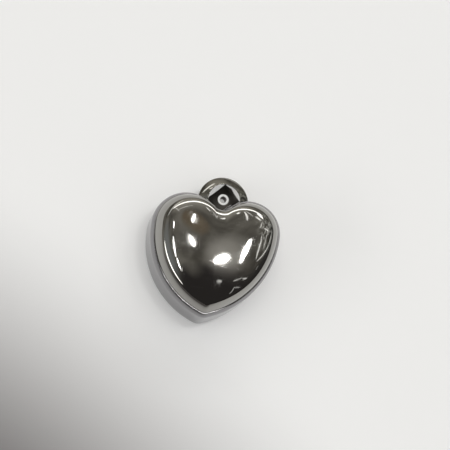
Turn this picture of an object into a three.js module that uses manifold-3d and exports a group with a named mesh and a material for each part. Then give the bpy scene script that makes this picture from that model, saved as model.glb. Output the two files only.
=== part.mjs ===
// Puffed heart pendant: a hollow, mirror-polished metal heart with a round eye in its notch.
// Millimetres. +X to the right and +Y up the heart as it hangs, +Z out of its front.
// The heart lies on its flat back at Z = 0, and the origin is under the middle of its outer box.

import * as THREE from 'three';
import { mergeVertices } from 'three/addons/utils/BufferGeometryUtils.js';
import Module from 'manifold-3d';

const wasm = await Module();
wasm.setup();

// Outline of the case, drawn with a compass: notch, lobe, side and tip arcs that touch each other
const heartWidth = 25.0;
const lobeRadius = 6.6;
const sideRadius = 18.0;
const tipRadius = 2.2;
const notchRadius = 1.4;
const tipDrop = 15.1;        // from the lobes' centre line down to the tip arc's centre
const lobeLift = 0.3;        // the right lobe stands this much higher, the left one lower

// Heights over the back
const seamHeight = 8.5;      // middle of the solder seam between front and case
const crownRise = 1.45;      // gentle swell of the whole front
const shoulderRise = 2.75;   // steep part of the front, near its edge
const shoulderPower = 18;    // the higher, the tighter the front's shoulder
const crownDrop = 4.7;       // crown of the front, below the lobes' centre line
const crownFade = 2;         // how soon the front's rings lose the heart shape towards the crown

// Shells and seam
const shellThickness = 0.6;
const seamStep = 0.5;        // the rim of the case is this much smaller all round than its wall
const rimLedge = 0.16;       // the foot of the front stands this far inside the rim
const caseShoulder = 1.5;    // height over which the case rounds in to the seam
const backEdgeRadius = 1.0;
const insideCornerRadius = 0.5;
const solderThickness = 0.2;
const solderSetBack = 0.1;   // the solder stays this far inside the rim
const solderRunIn = 0.3;     // and runs this far past the case's sheet on the inside

// Eye: a round disc with a bowl on each side and a small hole, which isn't quite in the middle
const eyeOuterRadius = 4.95;
const eyeThickness = 4.4;
const eyeEdgeRadius = 0.15;
const eyeBevelRadius = 13;   // the bevel outside the lip is nearly a cone
const eyeLipRadius = 3.2;
const eyeLipRounding = 0.14;
const eyeLipTurn = 26;       // degrees between the lip's flat top and the start of the bevel
const eyeChamferRadius = 28; // the chamfer inside the lip is nearly a cone too
const eyeChamferStart = 37;  // degrees that it leans at its upper edge
const eyeChamferEnd = 39.5;  // and at its lower edge
const eyeBowlRadius = 14;    // of the shallow hollow under the chamfer
const eyeBowlStart = 28;
const eyeBowlEnd = 23.5;
const eyeHoleRadius = 0.55;
const eyeHoleRounding = 0.12;
const eyeHoleLead = 0.6;     // the hole lies this much further up the heart than the disc's centre
const eyeSideOffset = 0.75;  // the eye sits a little to the right of the heart's axis
const eyeWeb = 0.83;         // metal between its hole and its seat on the right lobe

// Its seat, its peg and the solder that holds it
const seatGap = 0.3;         // between a piece and the curved face that it is fitted to
const pegRadius = 0.6;
const pegTail = 0.3;         // peg past its solder
const beadWidth = 0.7;
const beadThickness = 0.5;

// Facets
const notchSteps = 3;
const lobeSteps = 15;
const sideSteps = 9;
const tipSteps = 5;
const domeRings = 13;
const liningRings = 9;
const roundingSteps = 4;
const cornerSteps = 2;
const backRings = 3;
const eyeSegments = 44;
const bevelSteps = 3;
const bowlSteps = 2;
const edgeSteps = 2;
const pegSegments = 16;

// Compass centres of the outline's right half
const lobeCentre = new THREE.Vector2(heartWidth / 2 - lobeRadius, 0);
const tipCentre = new THREE.Vector2(0, -tipDrop);
const notchCentre = new THREE.Vector2(0, Math.sqrt((lobeRadius + notchRadius) ** 2 - lobeCentre.x ** 2));
const sideCentre = circlesMeet(lobeCentre, sideRadius - lobeRadius, tipCentre, sideRadius - tipRadius);
const notchBottom = notchCentre.y - notchRadius;
const tipBottom = tipCentre.y - tipRadius;

// Crown of the front, and the circle that its rings fade to
const crown = new THREE.Vector2(0, -crownDrop);
const crownCircle = (heartWidth / 2 + notchBottom - crown.y) / 2;

// Heights and places that follow from the sizes above
const caseRim = seamHeight - solderThickness / 2;
const frontRim = seamHeight + solderThickness / 2;
const footInset = seamStep + rimLedge;
const eyeZ = seamHeight / 2;
const holeToLobe = lobeRadius + seatGap + eyeWeb + eyeHoleRadius;
const holeY = lobeLift + Math.sqrt(holeToLobe ** 2 - (lobeCentre.x - eyeSideOffset) ** 2);
const eyeY = holeY - eyeHoleLead;
const pegTop = (notchBottom + seatGap + holeY - eyeHoleRadius) / 2;
const beadTop = notchBottom - shellThickness - seatGap;
const pegBottom = beadTop - beadThickness - pegTail;
const frameShift = -(eyeY + eyeOuterRadius + tipBottom) / 2;

// Where two circles meet, on the side that is nearer to the heart's axis
function circlesMeet(centreA, radiusA, centreB, radiusB) {
  const along = new THREE.Vector2().subVectors(centreB, centreA);
  const distance = along.length();
  along.normalize();
  const reach = (distance ** 2 + radiusA ** 2 - radiusB ** 2) / (2 * distance);
  const aside = Math.sqrt(radiusA ** 2 - reach ** 2);
  return new THREE.Vector2(
    centreA.x + along.x * reach + along.y * aside,
    centreA.y + along.y * reach - along.x * aside,
  );
}

function angleTowards(from, to) {
  return Math.atan2(to.y - from.y, to.x - from.x);
}

// Closed outline, counter-clockwise seen from the front, from the notch round the left lobe.
// A positive inset moves every arc inwards by that distance, a negative one outwards. The even
// heart then leans: each point rises or sinks with its distance from the axis.
function heartOutline(inset) {
  const lobeToSide = angleTowards(sideCentre, lobeCentre);
  const sideToTip = angleTowards(sideCentre, tipCentre);
  const arcs = [
    [notchCentre, notchRadius + inset, -Math.PI / 2, angleTowards(notchCentre, lobeCentre), notchSteps],
    [lobeCentre, lobeRadius - inset, angleTowards(lobeCentre, notchCentre), lobeToSide, lobeSteps],
    [sideCentre, sideRadius - inset, lobeToSide, sideToTip, sideSteps],
    [tipCentre, tipRadius - inset, sideToTip, -Math.PI / 2, tipSteps],
  ];
  const right = [];
  for (const [centre, radius, start, end, steps] of arcs) {
    const arc = new THREE.EllipseCurve(centre.x, centre.y, radius, radius, start, end, end < start);
    right.push(...arc.getPoints(steps).slice(right.length > 0 ? 1 : 0));
  }
  const left = right.map((point) => new THREE.Vector2(-point.x, point.y));
  const even = [...left, ...right.slice(0, -1).reverse().slice(0, -1)];
  const lean = lobeLift / lobeCentre.x;
  return even.map((point) => new THREE.Vector2(point.x, point.y + point.x * lean));
}

// A ring of a heart-shaped solid: the outline at an inset, drawn in to a share of its size about
// the crown. A smaller ring is also rounder, so the heart shape fades out towards the crown.
function heartRing(inset, share, height) {
  const fade = share ** crownFade;
  return heartOutline(inset).map((point) => {
    const fromCrown = point.clone().sub(crown);
    const round = fromCrown.clone().setLength(crownCircle);
    const flat = round.lerp(fromCrown, fade).multiplyScalar(share).add(crown);
    return new THREE.Vector3(flat.x, flat.y, height);
  });
}

// A lathe turning whose round sections are redrawn as rings of the heart. The profile is a list of
// [inset, share, height], and starts and ends at share 0 or closes on itself.
function heartTurning(profile) {
  const rings = profile.map(([inset, share, height]) => heartRing(inset, share, height));
  const sides = rings[0].length;
  const turned = new THREE.LatheGeometry(
    profile.map(([, share, height]) => new THREE.Vector2(share, height)),
    sides,
  );
  const position = turned.attributes.position;
  for (let side = 0; side <= sides; side += 1) {
    for (let ring = 0; ring < rings.length; ring += 1) {
      const { x, y, z } = rings[ring][side % sides];
      position.setXYZ(side * rings.length + ring, x, y, z);
    }
  }
  return welded(turned);
}

// Shared corners merged, and the empty triangles at a pole left out
function welded(geometry) {
  const bare = geometry.clone();
  bare.deleteAttribute('normal');
  bare.deleteAttribute('uv');
  const merged = mergeVertices(bare, 1e-5);
  const corners = merged.index.array;
  const kept = [];
  for (let i = 0; i < corners.length; i += 3) {
    const [a, b, c] = corners.slice(i, i + 3);
    if (a !== b && b !== c && c !== a) {
      kept.push(a, b, c);
    }
  }
  merged.setIndex(kept);
  merged.computeVertexNormals();
  return merged;
}

function solidOf(geometry) {
  const closed = welded(geometry);
  return new wasm.Manifold(new wasm.Mesh({
    numProp: 3,
    vertProperties: new Float32Array(closed.attributes.position.array),
    triVerts: new Uint32Array(closed.index.array),
  }));
}

function geometryOf(solid) {
  const { vertProperties, triVerts } = solid.getMesh();
  const geometry = new THREE.BufferGeometry();
  geometry.setAttribute('position', new THREE.BufferAttribute(vertProperties, 3));
  geometry.setIndex(new THREE.BufferAttribute(triVerts, 1));
  geometry.computeVertexNormals();
  return geometry;
}

// Part of a circle, as [inset, 1, height] rings, from one angle to another about a centre
function roundingRings(inset, height, radius, startAngle, endAngle, steps) {
  const rings = [];
  for (let step = 0; step <= steps; step += 1) {
    const angle = THREE.MathUtils.lerp(startAngle, endAngle, step / steps);
    rings.push([inset - radius * Math.cos(angle), 1, height + radius * Math.sin(angle)]);
  }
  return rings;
}

// Rings of the case's shoulder: an arc that leaves the wall upright and turns in by the seam's step
function shoulderRings(wallInset) {
  const radius = (seamStep ** 2 + caseShoulder ** 2) / (2 * seamStep);
  const turn = Math.asin(caseShoulder / radius);
  return roundingRings(wallInset + radius, caseRim - caseShoulder, radius, 0, turn, roundingSteps);
}

// Rings of a flat face, from its middle out to an inset
function flatRings(inset, height, steps) {
  const rings = [];
  for (let step = 0; step < steps; step += 1) {
    rings.push([inset, step / steps, height]);
  }
  return rings;
}

// Rings of the domed front over its rim, from the edge to the crown
function domeRingsOver(inset, rimHeight, rise, steps) {
  const swell = crownRise / (crownRise + shoulderRise);
  const rings = [];
  for (let step = 0; step <= steps; step += 1) {
    const share = Math.cos(Math.PI / 2 * step / steps);
    const height = swell * (1 - share ** 2) + (1 - swell) * (1 - share ** shoulderPower);
    rings.push([inset, step === steps ? 0 : share, rimHeight + rise * height]);
  }
  return rings;
}

// Deep back: flat back, rounded edge, straight wall and a shoulder that rounds in to the seam
function caseShell() {
  const quarter = Math.PI / 2;
  const edge = backEdgeRadius;
  const corner = insideCornerRadius;
  const cornerInset = shellThickness + corner;
  const outer = [
    ...flatRings(edge, 0, backRings),
    ...roundingRings(edge, edge, edge, -quarter, 0, roundingSteps),
    ...shoulderRings(0),
  ];
  const inner = [
    ...shoulderRings(shellThickness).reverse(),
    ...roundingRings(cornerInset, cornerInset, corner, 0, -quarter, cornerSteps),
    ...flatRings(cornerInset, shellThickness, backRings).reverse(),
  ];
  const cup = solidOf(heartTurning([...outer, ...inner]));
  const pegHole = solidOf(pegCylinder(pegRadius + seatGap, eyeY, pegBottom));
  return geometryOf(cup.subtract(pegHole));
}

// Domed front, with a lining that keeps the sheet's thickness
function frontShell() {
  const rise = crownRise + shoulderRise;
  const outer = domeRingsOver(footInset, frontRim, rise, domeRings);
  const lining = domeRingsOver(footInset + shellThickness, frontRim, rise - shellThickness, liningRings);
  return heartTurning([...lining.reverse(), ...outer]);
}

// Line of solder on the rim of the case, under the foot of the front
function seamSolder() {
  const outside = seamStep + solderSetBack;
  const insideEdge = seamStep + shellThickness + solderRunIn;
  return heartTurning([
    [outside, 1, caseRim],
    [outside, 1, frontRim],
    [insideEdge, 1, frontRim],
    [insideEdge, 1, caseRim],
    [outside, 1, caseRim],
  ]);
}

// Round bar along Y at the eye's place, between two heights up the heart
function pegCylinder(radius, top, bottom) {
  const bar = new THREE.CylinderGeometry(radius, radius, top - bottom, pegSegments);
  bar.translate(eyeSideOffset, (top + bottom) / 2, eyeZ);
  return bar;
}

// Points of a circle's arc in the eye's section, (distance from its axis, height), angles in degrees
function arcPoints(distance, height, radius, startAngle, endAngle, steps) {
  const points = [];
  for (let step = 0; step <= steps; step += 1) {
    const angle = THREE.MathUtils.degToRad(THREE.MathUtils.lerp(startAngle, endAngle, step / steps));
    points.push(new THREE.Vector2(distance + radius * Math.cos(angle), height + radius * Math.sin(angle)));
  }
  return points;
}

// An arc that goes on from the last point without a kink. A hollow one has a radius below 0.
function turnOn(points, radius, startAngle, endAngle, steps) {
  const last = points[points.length - 1];
  const angle = THREE.MathUtils.degToRad(startAngle);
  const distance = last.x - radius * Math.cos(angle);
  const height = last.y - radius * Math.sin(angle);
  points.push(...arcPoints(distance, height, radius, startAngle, endAngle, steps).slice(1));
}

// Front half of the eye's section, from its rim to its hole. Angles are those of the surface's outward
// direction, with 90 straight up.
function eyeFrontHalf() {
  const lipStart = 90 - eyeLipTurn;
  const lipMiddle = eyeThickness / 2 - eyeLipRounding;
  const outside = arcPoints(eyeLipRadius, lipMiddle, eyeLipRounding, 90, lipStart, 1);
  const lipCosine = Math.cos(THREE.MathUtils.degToRad(lipStart));
  const reach = eyeOuterRadius - outside[1].x - eyeEdgeRadius * (1 - lipCosine);
  const bevelCosine = lipCosine + reach / (eyeBevelRadius - eyeEdgeRadius);
  const bevelEnd = THREE.MathUtils.radToDeg(Math.acos(bevelCosine));
  turnOn(outside, eyeBevelRadius, lipStart, bevelEnd, bevelSteps);
  turnOn(outside, eyeEdgeRadius, bevelEnd, 0, edgeSteps);
  const half = outside.reverse();
  turnOn(half, eyeLipRounding, 90, 90 + eyeChamferStart, 1);
  turnOn(half, eyeChamferRadius, 90 + eyeChamferStart, 90 + eyeChamferEnd, bevelSteps);
  turnOn(half, -eyeLipRounding, 90 + eyeChamferEnd, 90 + eyeBowlStart, 1);
  turnOn(half, -eyeBowlRadius, 90 + eyeBowlStart, 90 + eyeBowlEnd, bowlSteps);
  turnOn(half, -eyeLipRounding, 90 + eyeBowlEnd, 90, 1);
  const floor = half[half.length - 1].y;
  const rounding = eyeHoleRounding;
  half.push(...arcPoints(eyeHoleRadius + rounding, floor - rounding, rounding, 90, 180, edgeSteps));
  return half;
}

// The disc, turned from its section. Its circles then slide up the heart, the smallest one the most.
function eyeDisc() {
  const front = eyeFrontHalf();
  const back = front.map((point) => new THREE.Vector2(point.x, -point.y)).reverse();
  const disc = new THREE.LatheGeometry([...front, ...back, front[0]], eyeSegments);
  disc.rotateX(Math.PI / 2);
  const slide = eyeHoleLead / (eyeOuterRadius - eyeHoleRadius);
  const position = disc.attributes.position;
  for (let i = 0; i < position.count; i += 1) {
    const fromAxis = Math.hypot(position.getX(i), position.getY(i));
    position.setY(i, position.getY(i) + slide * (eyeOuterRadius - fromAxis));
  }
  disc.translate(eyeSideOffset, eyeY, eyeZ);
  return disc;
}

// The disc filed to the notch, and the peg that carries it
function eyeRing() {
  const seat = new THREE.ExtrudeGeometry(new THREE.Shape(heartOutline(-seatGap)), {
    depth: seamHeight,
    bevelEnabled: false,
  });
  const ring = solidOf(eyeDisc()).subtract(solidOf(seat));
  const peg = solidOf(pegCylinder(pegRadius, pegTop, pegBottom));
  return geometryOf(ring.add(peg));
}

// Bead of solder round the peg's end, inside the case
function pegSolder() {
  const bead = new THREE.LatheGeometry([
    new THREE.Vector2(pegRadius, 0),
    new THREE.Vector2(pegRadius + beadWidth, 0),
    new THREE.Vector2(pegRadius + beadWidth, beadThickness / 2),
    new THREE.Vector2(pegRadius + beadWidth / 2, beadThickness),
    new THREE.Vector2(pegRadius, beadThickness),
    new THREE.Vector2(pegRadius, 0),
  ], pegSegments);
  bead.rotateX(Math.PI);
  bead.translate(eyeSideOffset, beadTop, eyeZ);
  return bead;
}

function polishedMetal(color, roughness) {
  return new THREE.MeshStandardMaterial({ color, roughness, metalness: 1 });
}

const pieces = [
  ['front_shell', frontShell(), polishedMetal(0xb4b0ab, 0.06)],
  ['case_shell', caseShell(), polishedMetal(0xaeaaa8, 0.08)],
  ['seam_solder', seamSolder(), polishedMetal(0x8d8a87, 0.35)],
  ['eye_ring', eyeRing(), polishedMetal(0xaaa7a2, 0.08)],
  ['peg_solder', pegSolder(), polishedMetal(0x8d8a87, 0.4)],
];

const pendant = new THREE.Group();
pendant.position.y = frameShift;
for (const [name, geometry, material] of pieces) {
  const mesh = new THREE.Mesh(geometry, material);
  mesh.name = name;
  pendant.add(mesh);
}

export default pendant;
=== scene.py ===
# %% [markdown]
# # A mirror-polished puffed heart
#
# The pendant is two pressed metal shells soldered together: a deep case with a flat back, and a
# domed front. A thick round eye sits in the notch. All of it is polished like a mirror, so most of
# what one sees is not the metal but the room: a dim ceiling, a few bright windows, the pale paper
# below. This lesson makes the smooth shells first, then their finish, and last the room, because on
# polished metal the room is half of the material.

# %% Open the solid model
import math

import bmesh
import bpy
import numpy as np
from mathutils import Matrix, Vector


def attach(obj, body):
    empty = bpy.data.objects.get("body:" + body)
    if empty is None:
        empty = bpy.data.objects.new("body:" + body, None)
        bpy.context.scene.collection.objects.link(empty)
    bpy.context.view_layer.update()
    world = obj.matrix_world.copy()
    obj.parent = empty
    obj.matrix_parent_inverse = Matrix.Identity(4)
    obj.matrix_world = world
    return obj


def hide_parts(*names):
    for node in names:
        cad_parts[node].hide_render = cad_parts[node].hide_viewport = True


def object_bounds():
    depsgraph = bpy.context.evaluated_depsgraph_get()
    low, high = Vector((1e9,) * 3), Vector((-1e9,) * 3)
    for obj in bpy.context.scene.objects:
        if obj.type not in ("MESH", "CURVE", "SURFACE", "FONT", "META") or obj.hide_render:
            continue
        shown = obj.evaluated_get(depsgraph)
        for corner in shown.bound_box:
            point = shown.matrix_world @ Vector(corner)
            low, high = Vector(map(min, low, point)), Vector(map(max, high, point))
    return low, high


MM = 0.001  # metres in a millimetre

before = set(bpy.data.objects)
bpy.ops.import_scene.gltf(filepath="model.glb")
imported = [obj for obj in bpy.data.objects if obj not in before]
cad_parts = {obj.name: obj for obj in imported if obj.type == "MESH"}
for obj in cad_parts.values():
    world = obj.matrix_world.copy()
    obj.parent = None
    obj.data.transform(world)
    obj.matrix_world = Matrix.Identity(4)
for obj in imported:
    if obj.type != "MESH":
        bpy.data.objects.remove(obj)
cad_low, cad_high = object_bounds()
print("solid model, mm:", [round(side / MM, 2) for side in cad_high - cad_low])

# %% [markdown]
# ## The heart's outline
#
# A jeweller draws a heart with a compass: a big arc for each side, a smaller one for each lobe, and
# two small ones that round off the notch and the tip. Each arc touches the next, so the outline has
# no kink. Kinks matter here, because a mirror shows them as a break in every reflection. The solid
# model has the same arcs with few facets, so its sizes are repeated here and drawn with many points.

# %% Draw the arcs of the right half
heart_width = 25.0
lobe_radius = 6.6
side_radius = 18.0
tip_radius = 2.2
notch_radius = 1.4
tip_drop = 15.1  # from the lobes' centre line down to the tip arc's centre
lobe_lift = 0.3  # the right lobe stands this much higher, the left one lower

lobe_centre = np.array([heart_width / 2 - lobe_radius, 0.0])
tip_centre = np.array([0.0, -tip_drop])
notch_centre = np.array([0.0, math.sqrt((lobe_radius + notch_radius) ** 2 - lobe_centre[0] ** 2)])


def circles_meet(centre_a, radius_a, centre_b, radius_b):
    """Where two circles cross, on the side nearer to the heart's axis."""
    along = centre_b - centre_a
    distance = np.hypot(*along)
    along = along / distance
    reach = (distance ** 2 + radius_a ** 2 - radius_b ** 2) / (2 * distance)
    aside = math.sqrt(radius_a ** 2 - reach ** 2)
    return centre_a + along * reach + np.array([along[1], -along[0]]) * aside


def angle_towards(start, end):
    """The angle round from +X at which the end lies, seen from the start."""
    return math.atan2(end[1] - start[1], end[0] - start[0])


def arc(centre, radius, start, end, steps, bulge=1):
    """Points centre + radius * (cos, sin) of evenly spaced angles, and the outward direction at each.
    The notch bulges the other way, so its outward direction points to its centre."""
    turn = np.linspace(start, end, steps + 1)
    direction = np.stack([np.cos(turn), np.sin(turn)], axis=1)
    return centre + radius * direction, bulge * direction


side_centre = circles_meet(lobe_centre, side_radius - lobe_radius, tip_centre, side_radius - tip_radius)
lobe_to_side = angle_towards(side_centre, lobe_centre)
side_to_tip = angle_towards(side_centre, tip_centre)
down = -math.pi / 2
notch_to_lobe = angle_towards(notch_centre, lobe_centre)
lobe_to_notch = angle_towards(lobe_centre, notch_centre)
arcs = [
    arc(notch_centre, notch_radius, down, notch_to_lobe, steps=14, bulge=-1),
    arc(lobe_centre, lobe_radius, lobe_to_notch, lobe_to_side, steps=70),
    arc(side_centre, side_radius, lobe_to_side, side_to_tip, steps=56),
    arc(tip_centre, tip_radius, side_to_tip, down, steps=22),
]
# Each arc starts where the last one ended, so only the first keeps its first point.
joined = arcs[:1] + [(points[1:], outward[1:]) for points, outward in arcs[1:]]
right_points, right_outward = (np.concatenate(rows) for rows in zip(*joined))
print("points of the right half:", len(right_points))

# %% [markdown]
# ## Rings of the heart
#
# Every part of the pendant is a stack of rings that follow the outline. An inset moves a ring inwards
# by the same distance all round. A share below 1 also shrinks it towards the crown of the front, and
# a shrunken ring is rounder, so the heart shape fades out towards the middle of the dome. The photo
# shows the right lobe a little higher than the left one, so the whole outline leans slightly.

# %% Close the outline and make rings from it
mirror = np.array([-1.0, 1.0])
# The outline runs down the left side and up the right one. Notch and tip count once.
outline = np.concatenate([right_points * mirror, right_points[-2:0:-1]])
outward = np.concatenate([right_outward * mirror, right_outward[-2:0:-1]])
lean = lobe_lift / lobe_centre[0]

notch_bottom = notch_centre[1] - notch_radius
tip_bottom = -tip_drop - tip_radius
crown_drop = 4.7  # crown of the front, below the lobes' centre line
crown = np.array([0.0, -crown_drop])
crown_circle = (heart_width / 2 + notch_bottom + crown_drop) / 2
crown_fade = 2.0
frame_shift = cad_low.y / MM - tip_bottom


def leaning(points):
    """Each point rises by its distance from the axis times the lean."""
    return points + np.stack([np.zeros_like(points[..., 0]), lean * points[..., 0]], axis=-1)


def heart_rings(profile):
    """Grid of points from profile rows (inset, share, height): the outline moved inwards by the
    inset, then for each ring a mix of a circle and the heart, scaled by the share about the crown.
    The heart's part in the mix is the share to the power crown_fade."""
    inset, share, height = np.asarray(profile, float).T[..., None, None]
    from_crown = leaning(outline - inset * outward) - crown
    circle = crown_circle * from_crown / np.linalg.norm(from_crown, axis=-1, keepdims=True)
    fade = share ** crown_fade
    flat = crown + share * (circle * (1 - fade) + from_crown * fade)
    return np.concatenate([flat, np.broadcast_to(height, flat.shape[:2] + (1,))], axis=-1)


print("outline points:", len(outline), "width, mm:", round(np.ptp(outline[:, 0]), 3))

# %% [markdown]
# ## From a grid to a closed mesh
#
# A grid of points becomes a mesh by joining each point with its neighbours. The rings close on
# themselves, a ring that has shrunk to a point becomes a pole when its doubles are merged, and a
# profile that ends where it began makes a closed ring-shaped solid. The signed volume tells whether
# the faces point outwards: it is the sum over all triangles of a tetrahedron with the origin.

# %% Make a mesh piece from a grid of rings
sharp_angle = math.radians(35)
merge_distance = 1e-7  # metres


def mesh_piece(name, grids):
    """A smooth mesh object from grids of rings in the heart's own millimetres. Rings run one way and
    points along a ring the other; each grid becomes a closed skin."""
    vertices, faces, first = [], [], 0
    for grid in grids:
        rings, sides = grid.shape[:2]
        index = first + np.arange(rings * sides).reshape(rings, sides)
        beside = np.roll(index, -1, axis=1)
        quads = np.stack([index[:-1], beside[:-1], beside[1:], index[1:]], axis=-1).reshape(-1, 4)
        vertices.append((grid.reshape(-1, 3) + [0.0, frame_shift, 0.0]) * MM)
        faces.append(quads)
        first += rings * sides
    mesh = bpy.data.meshes.new(name)
    mesh.from_pydata(np.concatenate(vertices), [], np.concatenate(faces).tolist())
    tidy = bmesh.new()
    tidy.from_mesh(mesh)
    bmesh.ops.remove_doubles(tidy, verts=tidy.verts, dist=merge_distance)
    if tidy.calc_volume(signed=True) < 0:
        bmesh.ops.reverse_faces(tidy, faces=tidy.faces)
    open_edges = sum(not edge.is_manifold for edge in tidy.edges)
    volume = tidy.calc_volume(signed=True) / MM ** 3
    tidy.to_mesh(mesh)
    tidy.free()
    mesh.polygons.foreach_set("use_smooth", np.ones(len(mesh.polygons), bool))
    mesh.set_sharp_from_angle(angle=sharp_angle)
    piece = bpy.data.objects.new(name, mesh)
    bpy.context.scene.collection.objects.link(piece)
    print(name, "faces:", len(mesh.polygons), "volume, mm3:", round(volume, 2))
    print(name, "open edges:", open_edges)
    return piece


def takes_over(piece, node):
    """The piece is shown in place of a CAD node, which is hidden, and hangs from the root body."""
    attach(piece, "root")
    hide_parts(node)


def rounding(inset, height, radius, start, end, steps):
    """Profile rows along part of a circle: the inset falls by the radius times the cosine of the angle,
    and the height grows by the radius times its sine."""
    turn = np.radians(np.linspace(start, end, steps + 1))
    return np.stack([
        inset - radius * np.cos(turn),
        np.ones_like(turn),
        height + radius * np.sin(turn),
    ], axis=1)


print("an edge counts as sharp from, degrees:", round(math.degrees(sharp_angle)))

# %% [markdown]
# ## The front
#
# The front is pressed from sheet. It rises steeply from its foot, turns over a tight shoulder and then
# swells gently to the crown. Two powers of the share describe that: a square for the swell, and a high
# power for the shoulder, which stays flat until close to the foot. The foot stands a little inside the
# rim of the case, so that the solder has a narrow ledge to lie on.

# %% Press the domed front
seam_height = 8.5
solder_thickness = 0.2
seam_step = 0.5  # from the case's wall in to its rim
rim_ledge = 0.16  # from the rim in to the foot of the front
shell_thickness = 0.6
crown_rise = 1.45  # the gentle swell's part of the dome's height
front_height = 12.8
shoulder_power = 18
foot_edge = 0.04
front_rim = seam_height + solder_thickness / 2
case_rim = seam_height - solder_thickness / 2
foot_inset = seam_step + rim_ledge
foot_height = case_rim - solder_thickness / 2


def dome(inset, height, top, steps):
    """Profile rows from the foot to the crown: the height grows by the swell's part of the rise times
    one minus the share squared, and by the shoulder's part times one minus the share to a power."""
    share = np.cos(np.linspace(0, math.pi / 2, steps + 1))
    share[-1] = 0.0  # exactly one point
    swell = crown_rise / (front_height - front_rim)
    up = swell * (1 - share ** 2) + (1 - swell) * (1 - share ** shoulder_power)
    return np.stack([np.full_like(share, inset), share, height + (top - height) * up], axis=1)


lining = dome(foot_inset + shell_thickness, foot_height, front_height - shell_thickness, steps=24)
front_profile = np.concatenate([
    lining[::-1],
    rounding(foot_inset + foot_edge, foot_height + foot_edge, foot_edge, -90, 0, steps=3),
    dome(foot_inset, foot_height + 2 * foot_edge, front_height, steps=72),
])
front = mesh_piece("front", [heart_rings(front_profile)])
takes_over(front, "front_shell")

# %% [markdown]
# ## The case
#
# The case is a deep cup: a flat back, a rounded back edge, an upright wall, and a soft shoulder that
# turns in to the rim. The corner of the rim is just broken, as a file leaves it, and behind it the sheet
# is cut back a little, for the solder. The inside follows the same outline one wall's thickness further
# in.

# %% Raise the deep case
back_edge_radius = 1.0
case_shoulder = 1.5  # height over which the wall turns in to the rim
rim_radius = 0.05
rim_turn = 60  # degrees that the rim's corner has turned where the cut begins
groove_depth = 0.14
inside_corner_radius = 0.5
shoulder_radius = (seam_step ** 2 + case_shoulder ** 2) / (2 * seam_step)
shoulder_turn = math.degrees(math.asin(case_shoulder / shoulder_radius))
shoulder_foot = case_rim - case_shoulder
corner_inset = shell_thickness + inside_corner_radius


def flat_face(inset, height, steps):
    """Profile rows of a flat face, from its middle to just inside its edge."""
    share = np.linspace(0, 1, steps, endpoint=False)
    return np.stack([np.full_like(share, inset), share, np.full_like(share, height)], axis=1)


def shoulder(inset, steps):
    """Profile rows of a circle's arc that leaves the wall upright and turns in by the seam step."""
    return rounding(inset + shoulder_radius, shoulder_foot, shoulder_radius, 0, shoulder_turn, steps)


rim_inset = seam_step + rim_radius * math.cos(math.radians(shoulder_turn))
rim_middle = case_rim - rim_radius * math.sin(math.radians(shoulder_turn))
wall_rows = 8
wall_heights = np.linspace(back_edge_radius, shoulder_foot, wall_rows)[1:-1]
wall = np.stack([np.zeros_like(wall_heights), np.ones_like(wall_heights), wall_heights], axis=1)
case_profile = np.concatenate([
    flat_face(back_edge_radius, 0.0, steps=6),
    rounding(back_edge_radius, back_edge_radius, back_edge_radius, -90, 0, steps=12),
    wall,
    shoulder(0.0, steps=20),
    rounding(rim_inset, rim_middle, rim_radius, shoulder_turn, rim_turn, steps=3)[1:],
    [(seam_step + rim_radius, 1.0, case_rim - groove_depth)],
    shoulder(shell_thickness, steps=8)[::-1],
    rounding(corner_inset, corner_inset, inside_corner_radius, 0, -90, steps=4),
    flat_face(corner_inset, shell_thickness, steps=6)[::-1],
])
case = mesh_piece("case", [heart_rings(case_profile)])
takes_over(case, "case_shell")

# %% [markdown]
# ## The seam
#
# Solder closes the heart. It lies on the ledge between the rim and the foot of the front, where it
# shows as a fine line all round. A ring with a flat, four-cornered profile is enough.

# %% Run the solder round the seam
solder_set_back = 0.02
solder_rise = 0.01
solder_run_in = 0.3
solder_outside = seam_step + solder_set_back
solder_top = case_rim + solder_rise
solder_inside = seam_step + shell_thickness + solder_run_in
seam_profile = [
    (solder_outside, 1, case_rim - solder_thickness),
    (solder_outside, 1, solder_top),
    (solder_inside, 1, solder_top),
    (solder_inside, 1, case_rim - solder_thickness),
    (solder_outside, 1, case_rim - solder_thickness),
]
seam = mesh_piece("seam", [heart_rings(seam_profile)])
takes_over(seam, "seam_solder")

# %% [markdown]
# ## The eye
#
# The eye is a thick round disc, with a bevel outside its lip and a bowl inside it. A small hole goes
# through the foot of the bowl. A jeweller would turn it on a lathe, so it starts as a section: a chain
# of arcs, each of which goes on from the last one without a kink. The front half is enough, because
# the back is the same.

# %% Draw the section of the eye
eye_outer_radius = 4.95
eye_thickness = 4.4
eye_edge_radius = 0.15
eye_bevel_radius = 13.0
eye_lip_radius = 3.2
eye_lip_rounding = 0.14
eye_lip_turn = 26  # degrees between the lip's flat top and the start of the bevel
eye_chamfer_radius = 28.0
eye_chamfer_lean = (37, 39.5)  # degrees at its upper and its lower edge
eye_bowl_radius = 14.0
eye_bowl_lean = (28, 23.5)
eye_hole_radius = 0.55
eye_hole_rounding = 0.12


def arc_rows(distance, height, radius, start, end, steps):
    """Points of a circle's arc in the section: its middle + radius * (cosine, sine)."""
    turn = np.radians(np.linspace(start, end, steps + 1))
    return np.stack([distance + radius * np.cos(turn), height + radius * np.sin(turn)], axis=1)


def turn_on(rows, radius, start, end, steps):
    """An arc that goes on from the last of the rows without a kink. A hollow one has a radius below 0."""
    first = math.radians(start)
    middle = rows[-1] - radius * np.array([math.cos(first), math.sin(first)])
    return np.concatenate([rows, arc_rows(*middle, radius, start, end, steps)[1:]])


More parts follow.
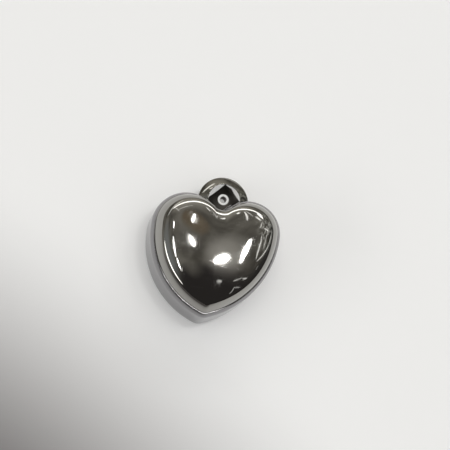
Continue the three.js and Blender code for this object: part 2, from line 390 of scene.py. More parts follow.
def eye_front_half():
    """The section's front half, drawn from the lip both ways: outwards a bevel that steepens and a small
    rounded edge, inwards a chamfer that catches the light, a shallow bowl with a level floor and the
    rounded edge of the hole. Angles are those of the surface's outward direction, with 90 straight up."""
    level = 90
    lip_start = level - eye_lip_turn
    chamfer_start, chamfer_end = (level + lean for lean in eye_chamfer_lean)
    bowl_start, bowl_end = (level + lean for lean in eye_bowl_lean)
    lip_middle = eye_thickness / 2 - eye_lip_rounding
    rows = arc_rows(eye_lip_radius, lip_middle, eye_lip_rounding, level, lip_start, steps=3)
    # An arc runs outwards by its radius times the change of its cosine. The bevel turns until it and the
    # edge's rounding together reach the outer radius.
    lip_cosine = math.cos(math.radians(lip_start))
    reach = eye_outer_radius - rows[-1, 0] - eye_edge_radius * (1 - lip_cosine)
    bevel_cosine = lip_cosine + reach / (eye_bevel_radius - eye_edge_radius)
    bevel_end = math.degrees(math.acos(bevel_cosine))
    rows = turn_on(rows, eye_bevel_radius, lip_start, bevel_end, steps=12)
    rows = turn_on(rows, eye_edge_radius, bevel_end, 0, steps=6)[::-1]
    rows = turn_on(rows, eye_lip_rounding, level, chamfer_start, steps=5)
    rows = turn_on(rows, eye_chamfer_radius, chamfer_start, chamfer_end, steps=8)
    rows = turn_on(rows, -eye_lip_rounding, chamfer_end, bowl_start, steps=3)
    rows = turn_on(rows, -eye_bowl_radius, bowl_start, bowl_end, steps=10)
    rows = turn_on(rows, -eye_lip_rounding, bowl_end, level, steps=4)
    foot, floor = rows[-1]
    rounding_middle = (eye_hole_radius + eye_hole_rounding, floor - eye_hole_rounding)
    hole_edge = arc_rows(*rounding_middle, eye_hole_rounding, level, 180, steps=8)
    print("eye's floor, mm thick:", round(2 * floor, 2), "radius of the bowl's foot:", round(foot, 2))
    return np.concatenate([[[eye_outer_radius, 0.0]], rows, hole_edge, [[eye_hole_radius, 0.0]]])


eye_half = eye_front_half()
print("points of the eye's front half:", len(eye_half))

# %% [markdown]
# ## The eye's fit in the notch
#
# The lower side of the disc is filed to fit the notch. Cutting it with another solid would leave rough
# normals on a mirror, so the cut is worked into the surface itself: at each angle round the eye, a ray
# shows how far off the heart's wall is, and the section stops there with a flat side. Where nothing is
# in the way, the flat side shrinks to a point and merges away. The hole also lies a little further up
# the heart than the middle of the disc, so the circles of the section slide up as they get smaller.

# %% Work out the filed ring
eye_side_offset = 0.75
eye_hole_lead = 0.6  # the hole lies this much further up the heart than the disc's centre
eye_web = 0.83  # metal between the hole and the seat on the right lobe
seat_gap = 0.3
seat_touch = 0.03  # the filed side ends this far off the heart's wall
parallel_limit = 1e-12
eye_z = seam_height / 2
hole_to_lobe = lobe_radius + seat_gap + eye_web + eye_hole_radius
hole_y = lobe_lift + math.sqrt(hole_to_lobe ** 2 - (lobe_centre[0] - eye_side_offset) ** 2)
eye_y = hole_y - eye_hole_lead
eye_slide = eye_hole_lead / (eye_outer_radius - eye_hole_radius)
eye_pole = np.array([eye_side_offset, eye_y + eye_slide * eye_outer_radius])


def distance_to(points, origin, directions):
    """For each direction, how far a ray from the origin runs before it meets the closed outline. The
    ray and each stretch of the outline are solved as two lines, and the nearest true crossing counts."""
    stretch = np.roll(points, -1, axis=0) - points
    offset = points - origin
    cross = directions[:, None, 0] * stretch[:, 1] - directions[:, None, 1] * stretch[:, 0]
    cross[np.abs(cross) < parallel_limit] = parallel_limit
    along_ray = (offset[:, 0] * stretch[:, 1] - offset[:, 1] * stretch[:, 0]) / cross
    along_stretch = (offset[:, 0] * directions[:, None, 1] - offset[:, 1] * directions[:, None, 0]) / cross
    meets = (along_ray > 0) & (along_stretch >= 0) & (along_stretch <= 1)
    return np.where(meets, along_ray, np.inf).min(axis=1)


def filed_ring(front_half, around_steps):
    """The section turned round the eye. Each of its circles is slid up the heart by the slide times how
    much smaller it is than the outer one, so a point lies at the pole plus its radius times (cosine,
    sine minus slide). Where the heart is in the way, every point beyond the seat is brought in to the
    seat and down to the height that the section has there."""
    turn = np.linspace(0, 2 * math.pi, around_steps, endpoint=False)
    directions = np.stack([np.cos(turn), np.sin(turn) - eye_slide], axis=1)
    seat = distance_to(leaning(outline + seat_touch * outward), eye_pole, directions)[:, None]
    back_half = front_half[-2:0:-1] * [1.0, -1.0]
    section = np.concatenate([front_half, back_half, front_half[:1]])
    reach = np.interp(seat, front_half[::-1, 0], front_half[::-1, 1])
    beyond = section[:, 0] > seat
    radius = np.where(beyond, seat, section[:, 0])[..., None]
    height = np.where(beyond, np.clip(section[:, 1], -reach, reach), section[:, 1])[..., None]
    grid = np.concatenate([eye_pole + radius * directions[:, None], eye_z + height], axis=-1)
    return np.concatenate([grid, grid[:1]])


print("hole of the eye, mm up from the lobes' centre line:", round(hole_y, 3))

# %% [markdown]
# ## The peg
#
# A peg on the eye goes through the notch wall, and solder round its end holds it inside the heart. Only
# a short stretch of it would ever show, so a plain round bar will do. It is a second skin in the same
# mesh, because peg and eye are cast in one.

# %% Add the peg and finish the eye
peg_radius = 0.6
peg_tail = 0.3
bead_thickness = 0.5
bead_top = notch_bottom - shell_thickness - seat_gap
peg_top = (notch_bottom + seat_gap + hole_y - eye_hole_radius) / 2
peg_bottom = bead_top - bead_thickness - peg_tail


def round_bar(radius, top, bottom, steps):
    """A bar along Y: circles of radius * (cosine, sine), with a pole at each end."""
    turn = np.linspace(0, 2 * math.pi, steps, endpoint=False)
    rings = [(0.0, top), (radius, top), (radius, bottom), (0.0, bottom)]
    return np.array([
        np.stack([
            eye_side_offset + size * np.cos(turn),
            np.full_like(turn, y),
            eye_z + size * np.sin(turn),
        ], axis=1)
        for size, y in rings
    ])


peg = round_bar(peg_radius, peg_top, peg_bottom, steps=32)
eye = mesh_piece("eye", [filed_ring(eye_half, around_steps=300), peg])
takes_over(eye, "eye_ring")

# %% [markdown]
# ## The polish group
#
# All polished pieces of the pendant went over the same buffing wheel, so they share one finish. In
# Blender a finish that several materials use is best built once, as a node group with a few controls.
# The controls here say how rough the clean metal is, how rough and how common the haze is, and how
# strongly smudges and hairlines show.

# %% Start the polish group
polish_controls = {"Sharp": 0.03, "Haze": 0.24, "Haze Share": 0.1, "Smudge": 0.05, "Hairlines": 0.5}


def new_group(name, inputs, outputs):
    """An empty shader node group with named float inputs and outputs, and its two end nodes."""
    group = bpy.data.node_groups.new(name, "ShaderNodeTree")
    for title, value in inputs.items():
        socket = group.interface.new_socket(title, in_out="INPUT", socket_type="NodeSocketFloat")
        socket.default_value = value
    for title in outputs:
        group.interface.new_socket(title, in_out="OUTPUT", socket_type="NodeSocketFloat")
    return group, group.nodes.new("NodeGroupInput"), group.nodes.new("NodeGroupOutput")


polish, polish_in, polish_out = new_group("hand_polish", polish_controls, ["Roughness", "Wear", "Height"])
print("controls of the polish:", list(polish_controls))

# %% [markdown]
# ## Hairlines
#
# A pendant rubs on clothes and keys, and its polish gets fine scratches. They could be painted, but
# noise draws them without a picture: squeezed along one direction it turns into streaks, and only the
# few highest streaks are kept. Three such layers with different turns cross one another.

# %% Draw the hairlines
hairline_runs = [(0.4, 42.0), (-0.9, 55.0), (1.3, 36.0)]  # turn in radians, and how much it is squeezed
hairline_lean = 0.3  # lean about X, as a share of the turn
hairline_tip = 0.2  # radians about Y, so that the streaks cross the upright walls too
hairline_scale = 130.0
hairline_cut = (0.66, 0.74)  # noise below the first is clean metal, above the second all hairline


def add_node(tree, kind, settings=None, **values):
    """A node with its settings, and with its inputs given by name, or by place as i0, i1 and so on.
    Spaces in a name are written as _. A value that is a socket of another node is linked."""
    node = tree.nodes.new(kind)
    for key, value in (settings or {}).items():
        setattr(node, key, value)
    for key, value in values.items():
        by_place = key[0] == "i" and key[1:].isdigit()
        socket = node.inputs[int(key[1:]) if by_place else key.replace("_", " ")]
        if isinstance(value, bpy.types.NodeSocket):
            tree.links.new(value, socket)
        else:
            socket.default_value = value
    return node


def place_on_piece(tree):
    """Where the shaded point lies in the piece's own metres."""
    return tree.nodes.new("ShaderNodeTexCoord").outputs["Object"]


def noise(tree, point, scale, detail=2.0, roughness=0.5):
    """Noise from 0 to 1, mostly near the middle. A larger scale makes it finer."""
    node = add_node(tree, "ShaderNodeTexNoise",
                    Vector=point, Scale=scale, Detail=detail, Roughness=roughness)
    return node.outputs["Fac"]


def remap(tree, value, low, high, out_low=0.0, out_high=1.0):
    """The value taken from one range to another with soft ends."""
    node = add_node(tree, "ShaderNodeMapRange", {"interpolation_type": "SMOOTHSTEP"},
                    Value=value, From_Min=low, From_Max=high, To_Min=out_low, To_Max=out_high)
    return node.outputs["Result"]


def combine(tree, operation, a, b):
    """One step of arithmetic with two numbers."""
    return add_node(tree, "ShaderNodeMath", {"operation": operation}, i0=a, i1=b).outputs["Value"]


place = place_on_piece(polish)
streaks = 0.0
for turn, squeeze in hairline_runs:
    mapped = add_node(polish, "ShaderNodeMapping", Vector=place, Scale=(1.0, squeeze, 1.0),
                      Rotation=(hairline_lean * turn, hairline_tip, turn)).outputs["Vector"]
    lines = remap(polish, noise(polish, mapped, hairline_scale, detail=3.0), *hairline_cut)
    streaks = combine(polish, "MAXIMUM", streaks, lines)
hairlines = combine(polish, "MULTIPLY", streaks, polish_in.outputs["Hairlines"])
print("layers of hairlines:", len(hairline_runs))

# %% [markdown]
# ## Haze, smudges and waves
#
# Between the sharp reflections of a worn polish lies a soft haze: thousands of hairlines too fine to
# see, which scatter a part of the light. A very fine, even noise stands for it. A broad noise makes the
# smudges that fingers leave, and a slow wave in the height bends the reflections, as on any sheet that
# was polished by hand.

# %% Add haze, smudges and waves
haze_scale = 9000.0
haze_cut = (0.5, 0.56)
smudge_scale = 260.0
smudge_cut = (0.42, 0.72)
wave_scale = 210.0
ripple_scale = 800.0
ripple_share = 0.12

haze_mask = remap(polish, noise(polish, place, haze_scale, detail=0.0), *haze_cut)
haze = combine(polish, "MULTIPLY", haze_mask, polish_in.outputs["Haze Share"])
wear = combine(polish, "MAXIMUM", haze, hairlines)
smudges = remap(polish, noise(polish, place, smudge_scale, detail=4.0), *smudge_cut)
smudge_part = combine(polish, "MULTIPLY", smudges, polish_in.outputs["Smudge"])
sharp_part = combine(polish, "ADD", polish_in.outputs["Sharp"], smudge_part)
rough_part = combine(polish, "MULTIPLY", wear, polish_in.outputs["Haze"])
ripples = combine(polish, "MULTIPLY", noise(polish, place, ripple_scale, detail=0.0), ripple_share)
waves = combine(polish, "ADD", noise(polish, place, wave_scale, detail=1.0), ripples)
polish.links.new(combine(polish, "ADD", sharp_part, rough_part), polish_out.inputs["Roughness"])
polish.links.new(wear, polish_out.inputs["Wear"])
polish.links.new(waves, polish_out.inputs["Height"])
print("nodes in the polish group:", len(polish.nodes))

# %% [markdown]
# ## One metal, three finishes
#
# All three polished pieces are the same silver-grey metal. The front has the best polish. The case is
# less sharp, since its wall is hard to reach with the buff, and its grey is painted darker and a little
# lilac, as painted shade for the shaded paper that its wall mirrors. The eye's grey is painted as dark as
# the case's but warmer, as painted shade for the dim brownish room it mirrors. The eye has few hairlines
# and no haze, and hardly waves, because it was cast and not pressed. One function makes all three,
# because only the two colours, the waves and a few controls differ.

# %% Mix the polished metal
silver_grey = (0.342, 0.335, 0.316)
silver_worn = (0.38, 0.373, 0.356)
# The case's grey, darker and a little lilac: painted shade for the shaded paper that its wall mirrors.
case_shaded_grey = (0.282, 0.277, 0.285)
case_shaded_worn = (0.33, 0.324, 0.332)
# The eye's grey, darker and warmer: painted shade for the dim room that it mirrors.
eye_shaded_grey = (0.29, 0.282, 0.258)
eye_shaded_worn = (0.33, 0.322, 0.298)
sheet_waves = 0.02
cast_waves = 0.001


def new_material(name):
    """A material with its node tree and its shader node."""
    material = bpy.data.materials.new(name)
    material.use_nodes = True
    return material, material.node_tree, material.node_tree.nodes["Principled BSDF"]


def blend(tree, factor, start, end):
    """The colour that lies between start and end by the factor. Either is a colour or a node's socket."""
    start, end = (
        colour if isinstance(colour, bpy.types.NodeSocket) else (*colour, 1.0)
        for colour in (start, end)
    )
    node = add_node(tree, "ShaderNodeMix", {"data_type": "RGBA"}, Factor=factor, A=start, B=end)
    return node.outputs["Result"]


def polished_metal(name, clean, worn, wave_depth, **controls):
    """A metal whose colour runs from clean to worn with the wear mask, and whose surface waves by a
    depth given in millimetres."""
    material, tree, shader = new_material(name)
    shader.inputs["Metallic"].default_value = 1.0
    finish = add_node(tree, "ShaderNodeGroup", {"node_tree": polish}, **controls)
    bump = add_node(tree, "ShaderNodeBump", Height=finish.outputs["Height"], Distance=wave_depth * MM)
    tree.links.new(blend(tree, finish.outputs["Wear"], clean, worn), shader.inputs["Base Color"])
    tree.links.new(finish.outputs["Roughness"], shader.inputs["Roughness"])
    tree.links.new(bump.outputs["Normal"], shader.inputs["Normal"])
    return material


front_polish = polished_metal("front_polish", silver_grey, silver_worn, sheet_waves)
case_polish = polished_metal("case_polish", case_shaded_grey, case_shaded_worn, sheet_waves, Sharp=0.06)
eye_polish = polished_metal("eye_polish", eye_shaded_grey, eye_shaded_worn, cast_waves,
                            Sharp=0.05, Hairlines=0.1, Haze_Share=0.0)
for piece, finish in ((front, front_polish), (case, case_polish), (eye, eye_polish)):
    piece.data.materials.append(finish)
    print(piece.name, "wears", finish.name)

# %% [markdown]
# ## Painted highlights in the eye
#
# White patches lie inside the lip of the eye and a white ring round its hole, with dark metal between
# them.
# The white parts are painted highlights: plain pale colour that stands for bright reflections in the
# polished metal. Each patch lies inside the lip's circle and beyond a straight line, and the ring lies
# between two circles, so a few distances are enough for a mask, and no picture is needed.

# %% Mark the painted highlights, the ring and the bowl
highlight_radius = 3.06
# Painted highlight patches: each row gives the bearing and distance of a patch's inner edge.
highlight_list = [(138, 2.25), (68, 2.76), (40, 2.5)]  # bearing and distance of each facet's inner edge
ring_inside = 0.62
ring_outside = 1.08
mask_edge = 0.04
flat_mask = (1.0, 1.0, 0.0)
number_results = ("DISTANCE", "DOT_PRODUCT", "LENGTH")


def vector_step(tree, operation, *inputs):
    """One step of arithmetic with vectors, which gives a number or again a vector."""
    values = {f"i{number}": value for number, value in enumerate(inputs)}
    node = add_node(tree, "ShaderNodeVectorMath", {"operation": operation}, **values)
    return node.outputs["Value" if operation in number_results else "Vector"]


eye_tree = eye_polish.node_tree
eye_flat = vector_step(eye_tree, "MULTIPLY", place_on_piece(eye_tree), flat_mask)
lip_slide = eye_slide * (eye_outer_radius - highlight_radius)
lip_middle = np.array([eye_side_offset, eye_y + lip_slide + frame_shift])
hole_middle = np.array([eye_side_offset, hole_y + frame_shift])


def distance_from(middle):
    """Distance in plan from a point given in millimetres."""
    return vector_step(eye_tree, "DISTANCE", eye_flat, (*(middle * MM), 0.0))


def step_at(value, edge, below, above):
    """One value below an edge given in millimetres and another above it."""
    return remap(eye_tree, value, (edge - mask_edge) * MM, (edge + mask_edge) * MM, below, above)


def beyond_chord(azimuth, chord):
    """1 past a line that lies across the given bearing, at the chord's distance from the lip's middle."""
    bearing = np.array([math.cos(math.radians(azimuth)), math.sin(math.radians(azimuth))])
    along = vector_step(eye_tree, "DOT_PRODUCT", eye_flat, (*bearing, 0.0))
    return step_at(along, bearing @ lip_middle + chord, 0.0, 1.0)


highlight_patches = 0.0
for azimuth, chord in highlight_list:
    highlight_patches = combine(eye_tree, "MAXIMUM", highlight_patches, beyond_chord(azimuth, chord))
in_lip = step_at(distance_from(lip_middle), highlight_radius, 1.0, 0.0)
from_hole = distance_from(hole_middle)
in_hole = step_at(from_hole, ring_inside, 1.0, 0.0)
off_hole = step_at(from_hole, ring_inside, 0.0, 1.0)
ring = combine(eye_tree, "MULTIPLY", off_hole, step_at(from_hole, ring_outside, 1.0, 0.0))
# Painted highlights: the patches inside the lip and the ring round the hole.
painted_highlights = combine(eye_tree, "MAXIMUM", combine(eye_tree, "MULTIPLY", highlight_patches, in_lip), ring)
print("facets:", len(highlight_list), "middle of the lip, mm:", lip_middle.round(2))

# %% [markdown]
# ## Colours in the eye
#
# The masks now lay their colours over the polished metal one after the other: dark silver in the bowl as
# painted shade, nearly white on the patches and the ring as painted highlights, and brown in the hole as
# painted shade, which comes last and stays on top. The bowl is also rougher, so that it doesn't mirror a
# lamp. The painted highlights are not metallic at all, so that the lamps make them pale like plaster.

# %% Colour the shaded bowl, the painted highlights and the shaded hole
# Painted shade in the bowl, white for the painted highlights, and painted shade in the hole.
bowl_shade_grey = (0.06, 0.055, 0.05)
highlight_white = (1.0, 1.0, 0.99)
hole_shade_brown = (0.10, 0.075, 0.065)
bowl_roughness = 0.4
eye_shader = eye_tree.nodes["Principled BSDF"]
eye_colour = eye_shader.inputs["Base Color"].links[0].from_socket
for mask, colour in ((in_lip, bowl_shade_grey), (painted_highlights, highlight_white), (in_hole, hole_shade_brown)):
    eye_colour = blend(eye_tree, mask, eye_colour, colour)
eye_roughness = add_node(eye_tree, "ShaderNodeMix", Factor=in_lip, B=bowl_roughness,
                         A=eye_shader.inputs["Roughness"].links[0].from_socket)
eye_tree.links.new(eye_colour, eye_shader.inputs["Base Color"])
eye_tree.links.new(eye_roughness.outputs["Result"], eye_shader.inputs["Roughness"])
eye_tree.links.new(remap(eye_tree, painted_highlights, 0.0, 1.0, 1.0, 0.0), eye_shader.inputs["Metallic"])
print("nodes in the eye's finish:", len(eye_tree.nodes))

# %% [markdown]
# ## The solder
#
# Solder is duller than the silver beside it, and grainy where no tool has smoothed it. The line is dark on
# the lower half of the heart, partly from that dullness and partly as painted shade in the seam; it is
# greyer higher up, and near the tip it is bright, a painted highlight. Fine noise makes the grain, and two
# soft masks lay the lighter colours over it: one by the place up the heart, the other by the distance from
# a spot near the tip. The bead on the peg is of the same solder.

# %% Mix the dull solder
# Dark solder with painted shade of the seam, a lighter grey higher up, and a painted highlight near the
# tip.
solder_dark_and_shade = (0.05, 0.047, 0.045)
solder_speck = (0.12, 0.115, 0.11)
solder_upper_grey = (0.33, 0.32, 0.32)
solder_highlight = (0.85, 0.84, 0.85)
grain_scale = 2500.0
grain_cut = (0.3, 0.7)
solder_roughness = (0.35, 0.6)
upper_grey_heights = (-3.0 * MM, 4.0 * MM)  # up the heart from the pendant's middle
highlight_spot = (-3.5 * MM, (frame_shift - 14.5) * MM, seam_height * MM)
highlight_reach = (5.0 * MM, 8.5 * MM)

solder, solder_tree, solder_shader = new_material("dull_solder")
solder_shader.inputs["Metallic"].default_value = 1.0
solder_place = place_on_piece(solder_tree)
grain = noise(solder_tree, solder_place, grain_scale, detail=3.0)
height_up = add_node(solder_tree, "ShaderNodeSeparateXYZ", i0=solder_place).outputs["Y"]
from_highlight = vector_step(solder_tree, "DISTANCE", solder_place, highlight_spot)
# A lighter grey higher up the heart, and a painted highlight round the spot near the tip.
upper_grey_part = remap(solder_tree, height_up, *upper_grey_heights)
highlight_part = remap(solder_tree, from_highlight, *highlight_reach, 1.0, 0.0)
solder_colour = blend(solder_tree, grain, solder_dark_and_shade, solder_speck)
solder_colour = blend(solder_tree, upper_grey_part, solder_colour, solder_upper_grey)
solder_colour = blend(solder_tree, highlight_part, solder_colour, solder_highlight)
grain_roughness = remap(solder_tree, grain, *grain_cut, *solder_roughness)
solder_tree.links.new(solder_colour, solder_shader.inputs["Base Color"])
solder_tree.links.new(grain_roughness, solder_shader.inputs["Roughness"])
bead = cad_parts["peg_solder"]
bead.data.materials.clear()
for piece in (seam, bead):
    piece.data.materials.append(solder)
    print(piece.name, "wears", solder.name)

# %% [markdown]
# ## The paper
#
# The heart lies on plain pale paper. The paper is also what the steep edges of the heart mirror, so it
# reaches far beyond the picture. A little of its paleness is its own glow, seen by the camera and in
# the metal only, so that the lamps need not be brighter than the metal's colours allow. The dark corner
# is a soft round patch of grey, since the shade's own cause is outside the picture.

# %% Lay the paper
paper_half = 4.0  # metres, like all places on the paper
paper_glow = 0.18
paper_white = (0.87, 0.87, 0.865)
paper_shade = (0.13, 0.12, 0.12)
# Painted shade for the paper far away.
paper_far_shade = (0.30, 0.29, 0.28)
paper_roughness = 0.9
paper_gloss = 0.2
shade_spot = (-0.111, -0.213, 0.0)
shade_edge = (0.172, 0.232)
far_shade_edge = (0.12, 0.6)

paper_mesh = bpy.data.meshes.new("paper")
corners = [(x * paper_half, y * paper_half, 0) for x, y in ((-1, -1), (1, -1), (1, 1), (-1, 1))]
paper_mesh.from_pydata(corners, [], [(0, 1, 2, 3)])
paper = bpy.data.objects.new("paper", paper_mesh)
bpy.context.scene.collection.objects.link(paper)

paper_material, paper_tree, paper_shader = new_material("paper")
paper_shader.inputs["Roughness"].default_value = paper_roughness
paper_shader.inputs["Specular IOR Level"].default_value = paper_gloss
paper_place = place_on_piece(paper_tree)
from_shade = vector_step(paper_tree, "DISTANCE", paper_place, shade_spot)
from_middle = vector_step(paper_tree, "LENGTH", paper_place)
paper_tone = blend(paper_tree, remap(paper_tree, from_shade, *shade_edge), paper_shade, paper_white)
# Far from the middle the paper turns darker grey: painted shade.
paper_tone = blend(paper_tree, remap(paper_tree, from_middle, *far_shade_edge), paper_tone, paper_far_shade)
seen_by = paper_tree.nodes.new("ShaderNodeLightPath").outputs
seen = combine(paper_tree, "MAXIMUM", seen_by["Is Camera Ray"], seen_by["Is Glossy Ray"])
seen = combine(paper_tree, "MAXIMUM", seen, seen_by["Is Transmission Ray"])
paper_tree.links.new(paper_tone, paper_shader.inputs["Base Color"])
paper_tree.links.new(paper_tone, paper_shader.inputs["Emission Color"])
glow = combine(paper_tree, "MULTIPLY", seen, paper_glow)
paper_tree.links.new(glow, paper_shader.inputs["Emission Strength"])
paper_mesh.materials.append(paper_material)
print("paper, m:", [round(side, 2) for side in paper.dimensions])

# %% [markdown]
# ## The lamps
#
# Polished metal looks dark in a dim room, and the bright patches on it are pictures of windows and
# lamps. Each lamp is placed by where its picture lies on the dome: a direction (its angle round from
# +X and its angle off straight up) and an angular size. All of them are plain ovals some way off.

# %% Hang the lamps
lamp_distance = 2.0
ceiling_light = 30.0
window_light = 4.2


def direction_at(azimuth, off_zenith):
    """Unit vector at an angle round from +X and an angle off straight up, both in degrees."""
    azimuth, off_zenith = math.radians(azimuth), math.radians(off_zenith)
    return Vector((
        math.sin(off_zenith) * math.cos(azimuth),
        math.sin(off_zenith) * math.sin(azimuth),
        math.cos(off_zenith),
    ))


def lamp(name, azimuth, off_zenith, across, along, radiance, twist=0.0, mirrored=True):
    """An oval that faces the heart. Across and along are angular sizes in degrees, along pointing
    away from straight up. A lamp's power is its radiance times pi times its area. One that isn't mirrored
    lights the paper but leaves no picture on the metal."""
    light = bpy.data.lights.new(name, "AREA")
    light.shape = "ELLIPSE"
    light.size = 2 * lamp_distance * math.tan(math.radians(across / 2))
    light.size_y = 2 * lamp_distance * math.tan(math.radians(along / 2))
    light.energy = radiance * math.pi * math.pi / 4 * light.size * light.size_y
    lamp_object = bpy.data.objects.new(name, light)
    outwards = direction_at(azimuth, off_zenith)
    upwards = direction_at(azimuth, off_zenith + 90)
    sideways = upwards.cross(outwards)
    turned = Matrix((sideways, upwards, outwards)).transposed().to_4x4()
    twisted = turned @ Matrix.Rotation(math.radians(twist), 4, "Z")
    lamp_object.matrix_world = Matrix.Translation(outwards * lamp_distance) @ twisted
    lamp_object.visible_camera = False
    lamp_object.visible_glossy = mirrored
    bpy.context.scene.collection.objects.link(lamp_object)


lamp("ceiling_near", 98, 27, 1.1, 6.2, 9.0, twist=-28)
lamp("ceiling_mid", 114, 16, 2.4, 5.6, 14.0, twist=-3)
lamp("ceiling_wide", 33, 14, 4.2, 9.6, ceiling_light, twist=-7)
lamp("ceiling_slab", 29, 28, 2.6, 12.5, 16.0, twist=58)
lamp("window_left", 204, 66, 48.0, 11.5, window_light)
lamp("window_strip", 160, 20, 2.0, 11.0, 12.0, twist=-66)
lamp("window_foot", 190, 17, 2.0, 8.0, 12.0, twist=84)
lamp("window_corner", 136, 27, 1.6, 4.4, 12.0, twist=-31)
lamp("window_back", 92, 54, 66.0, 6.0, window_light)
lamp("window_far", 56, 53, 8.0, 6.0, window_light)
lamp("soft_fill", 322, 30, 90.0, 90.0, 0.5, mirrored=False)
print("lamps:", len(bpy.data.lights))

# %% [markdown]
# ## The small bright edges
#
# Besides the lamps, the dome mirrors many thin bright lines, where the edge of something in the room
# catches the light. Real furniture would have to be modelled and lit for them. A thin oval lamp gives
# the same line, and can be moved until it lies where it should.

# %% Add the small bright edges
# Each row gives the name, the two angles of the place, the width, the length, the light and the twist.
small_edges = [
    ("skylight_edge", 79, 42, 1.4, 3.2, 3.0, 39),
    ("beam_long", 68, 40, 0.9, 14.0, 2.4, 43),
    ("beam_short", 67, 43, 0.8, 10.0, 1.8, 56),
    ("shelf_paper", 55, 43, 2.8, 5.0, 2.0, -74),
    ("shelf_edge", 47, 40, 0.8, 7.5, 1.6, 17),
    ("shelf_side", 36, 47, 1.1, 14.0, 1.8, -27),
    ("frame_top", 26, 35, 0.9, 12.0, 2.2, 80),
    ("frame_inside", 28, 45, 1.0, 14.0, 2.0, 46),
    ("frame_side", 14, 49, 1.1, 26.0, 2.2, 4),
    ("frame_foot", 20, 68, 1.6, 16.0, 2.0, 38),
    ("chair_back", 343, 15, 1.2, 3.4, 1.4, -1),
    ("chair_arm", 352, 27, 1.0, 7.0, 1.2, 23),
    ("chair_seat", 352, 35, 1.0, 8.0, 1.8, -10),
    ("chair_leg", 328, 42, 1.2, 23.0, 1.0, -27),
    ("chair_foot", 335, 42, 1.0, 20.0, 0.9, -8),
    ("table_edge", 1, 46, 1.0, 3.4, 1.4, 70),
    ("panel_foot", 128, 66, 38.0, 2.8, 2.4, 17),
    ("panel_side", 124, 50, 1.0, 34.0, 1.1, 16),
    ("panel_top", 108, 38, 1.0, 16.0, 1.4, 86),
]
for bright_edge in small_edges:
    lamp(*bright_edge)
print("lamps with the small edges:", len(bpy.data.lights))

# %% [markdown]
# ## The dim ceiling and walls
#
# Between the lamps the metal mirrors a dim, brownish room. The world can hold all of it: soft noise over
# the directions stands for clutter on the walls, and round patches of colour for what is lighter or
# darker than the rest. A patch needs only a direction and two cosines, one where it begins to show and
# one where it has its full colour.

# %% Paint the room
clutter_dark = (0.12, 0.113, 0.096)
clutter_pale = (0.335, 0.32, 0.284)
clutter_scale = 2.4
clutter_cut = (0.35, 0.68)
patches = [
    ("back wall", 100, 62, 0.84, 0.98, (0.575, 0.55, 0.49)),
    ("left wall", 190, 50, 0.84, 0.98, (0.356, 0.37, 0.37)),
    ("low right side", 5, 84, 0.72, 0.90, (0.065, 0.063, 0.059)),
    ("brown spot", 98, 26, 0.991, 0.999, (0.25, 0.20, 0.14)),
    ("pale ceiling", 36, 17, 0.962, 0.9998, (0.57, 0.55, 0.51)),
]

world = bpy.data.worlds.new("room")
bpy.context.scene.world = world
world.use_nodes = True
room = world.node_tree
direction = room.nodes.new("ShaderNodeTexCoord").outputs["Generated"]


def towards(azimuth, off_zenith, low, high):
    """1 for directions close to the given one and 0 far from it, between two cosines."""
    nearness = vector_step(room, "DOT_PRODUCT", direction, direction_at(azimuth, off_zenith))
    return remap(room, nearness, low, high)


clutter = remap(room, noise(room, direction, clutter_scale, detail=4.0, roughness=0.6), *clutter_cut)
walls = blend(room, clutter, clutter_dark, clutter_pale)
for name, azimuth, off_zenith, edge_cosine, full_cosine, colour in patches:
    patch = towards(azimuth, off_zenith, edge_cosine, full_cosine)
    walls = blend(room, patch, walls, colour)
    print("painted:", name)

# %% [markdown]
# ## Thin shine and the dark side
#
# On one side of the room thin bright lines wander over the wall, as glass or varnish gives them. Noise
# has such lines where it crosses its middle value, so they are cut out there. The side of the room
# beyond the heart's tip is nearly black, and the lower part of the dome mirrors it. That dark side is a
# wedge of bearings, and its point lies a little off straight up, where the photo has it.

# %% Add the shine and the dark side
shine_scale = 7.0
shine_width = (0.008, 0.04)
shine_white = (1.0, 1.0, 0.95)
shine_patch = (36, 60, 0.88, 0.96)  # two angles of the place, and the cosines of its edge and its core
noise_middle = 0.5
dark_colour = (0.049, 0.045, 0.044)
dark_edge = (0.12, 0.70)  # cosines of the bearing off the middle of the dark side
dark_point = (0.0, 0.2)
dark_middle = direction_at(290, 90)
point_shift = direction_at(150, 90) * -0.13

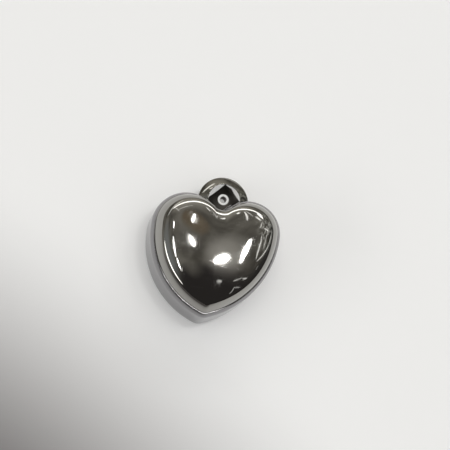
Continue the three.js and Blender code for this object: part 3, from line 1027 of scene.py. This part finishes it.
from_line = combine(room, "SUBTRACT", noise(room, direction, shine_scale, detail=3.0), noise_middle)
from_line = combine(room, "ABSOLUTE", from_line, 0.0)
thin_lines = remap(room, from_line, *shine_width, 1.0, 0.0)
shine = combine(room, "MULTIPLY", thin_lines, towards(*shine_patch))
walls = blend(room, shine, walls, shine_white)

off_point = vector_step(room, "MULTIPLY_ADD", direction, flat_mask, point_shift)
off_bearing = vector_step(room, "NORMALIZE", off_point)
facing = vector_step(room, "DOT_PRODUCT", off_bearing, dark_middle)
past_point = remap(room, vector_step(room, "LENGTH", off_point), *dark_point)
dark_side = combine(room, "MULTIPLY", remap(room, facing, *dark_edge), past_point)
walls = blend(room, dark_side, walls, dark_colour)
room.links.new(walls, room.nodes["Background"].inputs["Color"])
print("nodes in the room:", len(room.nodes))

# %% [markdown]
# ## The camera
#
# The camera looks down on the heart from its lower left, 17.7 degrees off straight down, and is rolled
# a little. Its place was found by laying the outline of the case and the seam over the photo.

# %% Set up the camera
camera_distance = 300.0
camera_tilt = 0.3083  # angles in radians
camera_azimuth = -2.0761
camera_roll = 0.1544
focal_pixels = 1528.4
picture_width = 450
sensor_width = 36.0
aim = Vector((2.6535, 3.3016 + frame_shift, 0.0))

camera_data = bpy.data.cameras.new("camera")
camera_data.sensor_width = sensor_width
camera_data.lens = focal_pixels / picture_width * sensor_width
camera = bpy.data.objects.new("camera", camera_data)
bpy.context.scene.collection.objects.link(camera)
backwards = direction_at(math.degrees(camera_azimuth), math.degrees(camera_tilt))
level_right = (-backwards).cross(Vector((0, 1, 0))).normalized()
level_up = backwards.cross(level_right)
cosine, sine = math.cos(camera_roll), math.sin(camera_roll)
camera_right = cosine * level_right + sine * level_up
camera_up = -sine * level_right + cosine * level_up
camera_axes = Matrix((camera_right, camera_up, backwards)).transposed().to_4x4()
camera.matrix_world = Matrix.Translation((aim + backwards * camera_distance) * MM) @ camera_axes
bpy.context.scene.camera = camera
bpy.context.scene.view_settings.view_transform = "Standard"
print("camera, mm:", [round(v / MM, 1) for v in camera.matrix_world.translation])
